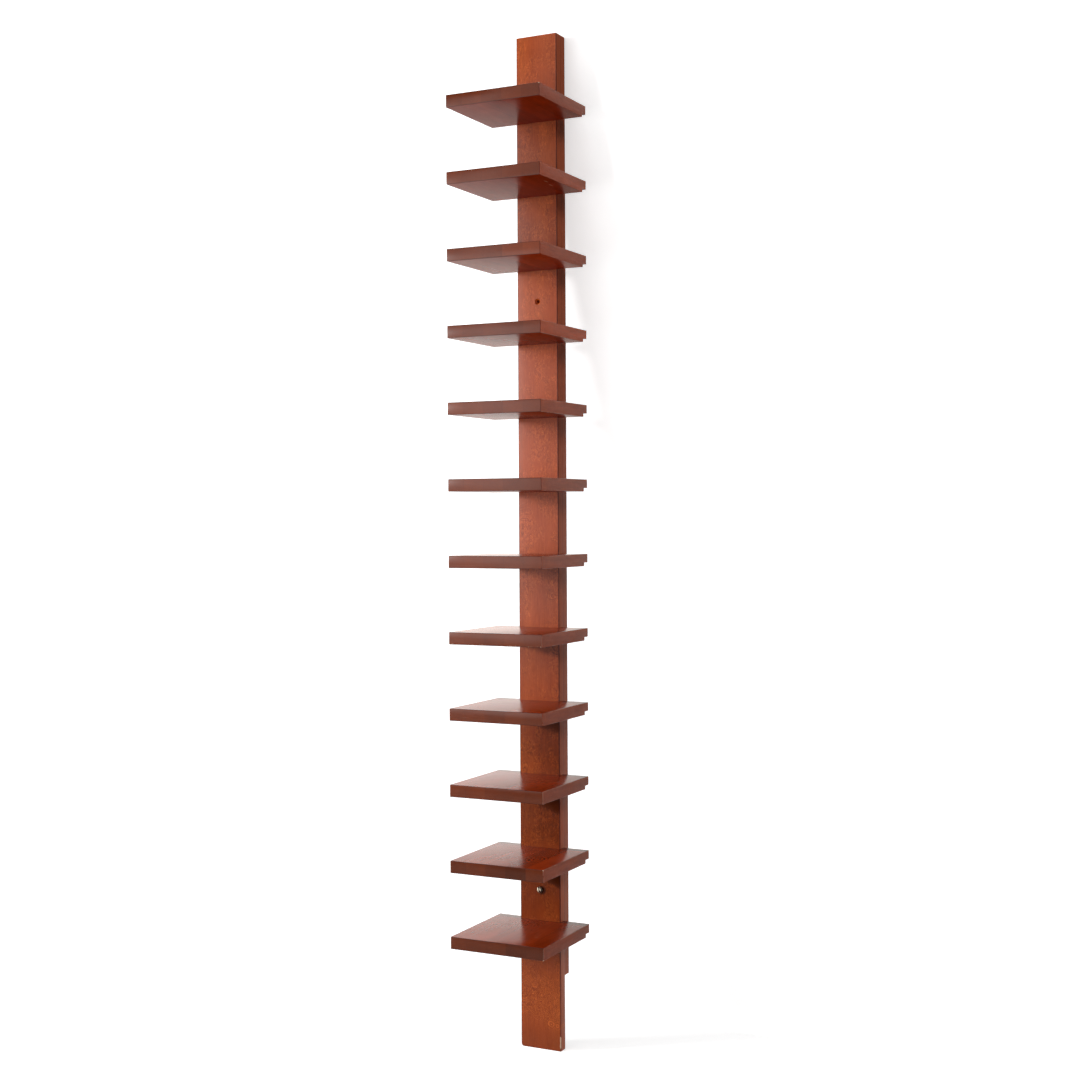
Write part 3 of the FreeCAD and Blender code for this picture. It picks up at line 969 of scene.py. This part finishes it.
class BOOKSHELF_OT_wall_screw(bpy.types.Operator):
    """Makes the round-headed slotted screw in the lower wall hole"""

    bl_idname = "bookshelf.wall_screw"
    bl_label = "Wall screw"

    def execute(self, context):
        screws = context.scene.bookshelf_screws
        head, shank = screws.wall_head / 2, screws.wall_shank / 2
        crown, end = wall_screw_low.y, wall_screw_high.y
        seat = crown + screws.head_height
        rise, rim, tip = 2.7 * MM, 0.4 * MM, 0.5 * MM
        core, point = shank * 0.78, shank * 0.6
        shank_end, thread_start = -16 * MM, -15.4 * MM
        sphere = (head * head + rise * rise) / (2 * rise)
        profile = []
        for step in range(9):
            radius = head * step / 8
            profile.append((radius, crown + sphere - math.sqrt(sphere * sphere - radius * radius)))
        profile += [(head, seat - rim), (head - rim, seat), (shank, seat), (shank, shank_end)]
        profile += [(core, thread_start), (core, end - tip), (point, end), (0, end)]
        screw = turned(profile, lower_hole_height, 48, "screw")
        half, reach = screws.slot_width / 2, head * 1.5
        outline = rectangle((-half, -reach), (half, reach))
        slot = prism(outline, "Y", crown - PAST, crown + screws.slot_depth, "slot")
        turn_and_move(slot, -screws.slot_lean, "Y", 0, lower_hole_height)
        material = bright_steel(context.scene.bookshelf_finish, screws.slot_lean)
        screw = carve(screw, slot)
        settle(screw, "slotted_screw", material, "wall_screw_steel", "wall_screw", sharp=30)
        return {"FINISHED"}


class BOOKSHELF_OT_studio(bpy.types.Operator):
    """Makes the white wall and floor, the lamps and the camera"""

    bl_idname = "bookshelf.studio"
    bl_label = "Studio"

    # Name, turn to the right in degrees, distance, height, height of the aim, size and power
    lamps = (
        ("high_left_lamp", -75, 2.6, 1.9, -0.4, 0.9, 9),
        ("left_lamp", -45, 2.6, 0.2, -0.4, 2.0, 15),
        ("high_front_lamp", -15, 2.6, 1.9, -0.4, 1.5, 9),
        ("front_lamp", -15, 2.6, 0.1, -0.4, 2.0, 14.4),
        ("near_left_lamp", -35, 1.25, -0.38, -0.38, 1.1, 4.0),
        ("near_lamp", 0, 1.25, -0.38, -0.38, 1.1, 3.6),
        ("foot_lamp", 26, 1.03, -1.5, -1.3, 0.5, 1.2),
        ("far_right_lamp", 60, 5.73, 3.57, -0.45, 2.6, 116),
        ("right_lamp", 50, 4.0, 0.3, -0.45, 1.6, 2.5),
        ("far_left_lamp", -55, 6.9, 0.5, -0.45, 0.8, 235),
        ("low_sun_lamp", -76, 10.0, 1.3, -0.45, 0.6, 60),
    )

    def execute(self, context):
        scene = context.scene
        scene.view_settings.view_transform = "Standard"
        self.make_sheets()
        self.make_lamps()
        self.make_world(scene)
        self.make_camera(scene)
        return {"FINISHED"}

    def make_sheets(self):
        """The wall leans from its foot to the object's top, and stands upright above it."""
        paper = backdrop_paper()
        reach, floor, top = 6, board_low.z, board_high.z
        foot_y, wall_y, ceiling = 0.24, 0.002, 4
        for name, low, high in (
            ("studio_wall", (foot_y, floor), (wall_y, top)),
            ("studio_wall_above", (wall_y, top), (wall_y, ceiling)),
            ("studio_floor", (-reach, floor), (foot_y, floor)),
        ):
            corners = [(-reach, *low), (reach, *low), (reach, *high), (-reach, *high)]
            bm = bmesh.new()
            bm.faces.new([bm.verts.new(corner) for corner in corners])
            sheet = new_object(name, mesh_of(bm, name))
            sheet.data.materials.append(paper)

    def make_lamps(self):
        middle_y = -0.1
        for name, turn, away, height, aim_height, size, power in self.lamps:
            angle = math.radians(turn)
            place = Vector((away * math.sin(angle), middle_y - away * math.cos(angle), height))
            lamp = bpy.data.lights.new(name, "AREA")
            lamp.size = size
            lamp.energy = power
            thing = new_object(name, lamp)
            thing.location = place
            aim = Vector((0, middle_y, aim_height)) - place
            thing.rotation_euler = aim.to_track_quat("-Z", "Y").to_euler()

    def make_world(self, scene):
        """White to the camera, pale in gloss from behind, and an even light from below."""
        scene.world = bpy.data.worlds.new("Studio")
        scene.world.use_nodes = True
        room = Nodes(scene.world.node_tree)
        rays = room.add("ShaderNodeLightPath")
        seen = rays.output("Is Camera Ray").at_least(rays.output("Is Transmission Ray"))
        _, y, z = room.parts(room.add("ShaderNodeTexCoord", {}, {}, "Generated"))
        gloss_level = room.between(y, -0.3, 0.3, 0.0, 0.55)
        diffuse_level = scene.bookshelf_studio.floor_light * (z < -0.3)
        level = diffuse_level + rays.output("Is Glossy Ray") * (gloss_level - diffuse_level)
        level = level + seen * (1 - level)
        light = room.add("ShaderNodeBackground", {}, {"Color": (1, 1, 1, 1), "Strength": level})
        room.add("ShaderNodeOutputWorld", {}, {0: light})

    def make_camera(self, scene):
        studio = scene.bookshelf_studio
        camera = new_object("camera", bpy.data.cameras.new("camera"))
        camera.data.sensor_width = 36
        camera.data.lens = studio.focal_length
        camera.data.clip_end = 50
        roll = Matrix.Rotation(studio.camera_roll, 4, "Z")
        turn = Matrix.Rotation(studio.camera_turn, 4, "Z")
        turn = turn @ Matrix.Rotation(math.pi / 2 + studio.camera_rise, 4, "X")
        camera.matrix_world = Matrix.Translation(studio.camera_place) @ turn @ roll
        scene.camera = camera


class BOOKSHELF_PT_panel(bpy.types.Panel):
    bl_idname = "BOOKSHELF_PT_panel"
    bl_label = "Spine bookshelf"
    bl_space_type = "VIEW_3D"
    bl_region_type = "UI"
    bl_category = "Bookshelf"

    def draw(self, context):
        for operator in operators:
            self.layout.operator(operator.bl_idname)
        for name, group in groups.items():
            box = self.layout.box()
            settings = getattr(context.scene, name)
            for setting in group.__annotations__:
                box.prop(settings, setting)


operators = (
    BOOKSHELF_OT_studio,
    BOOKSHELF_OT_front_board,
    BOOKSHELF_OT_rear_batten,
    BOOKSHELF_OT_shelves,
    BOOKSHELF_OT_shelf_screws,
    BOOKSHELF_OT_wall_screw,
)
groups = {
    "bookshelf_shelves": BookshelfShelves,
    "bookshelf_spine": BookshelfSpine,
    "bookshelf_screws": BookshelfScrews,
    "bookshelf_finish": BookshelfFinish,
    "bookshelf_studio": BookshelfStudio,
}


def register():
    for cls in (*groups.values(), *operators, BOOKSHELF_PT_panel):
        bpy.utils.register_class(cls)
    for name, group in groups.items():
        setattr(bpy.types.Scene, name, PointerProperty(type=group))


def unregister():
    for name in groups:
        delattr(bpy.types.Scene, name)
    for cls in (BOOKSHELF_PT_panel, *reversed(operators), *groups.values()):
        bpy.utils.unregister_class(cls)


def main():
    register()
    for operator in operators:
        area, name = operator.bl_idname.split(".")
        getattr(getattr(bpy.ops, area), name)()


if __name__ == "__main__":
    main()
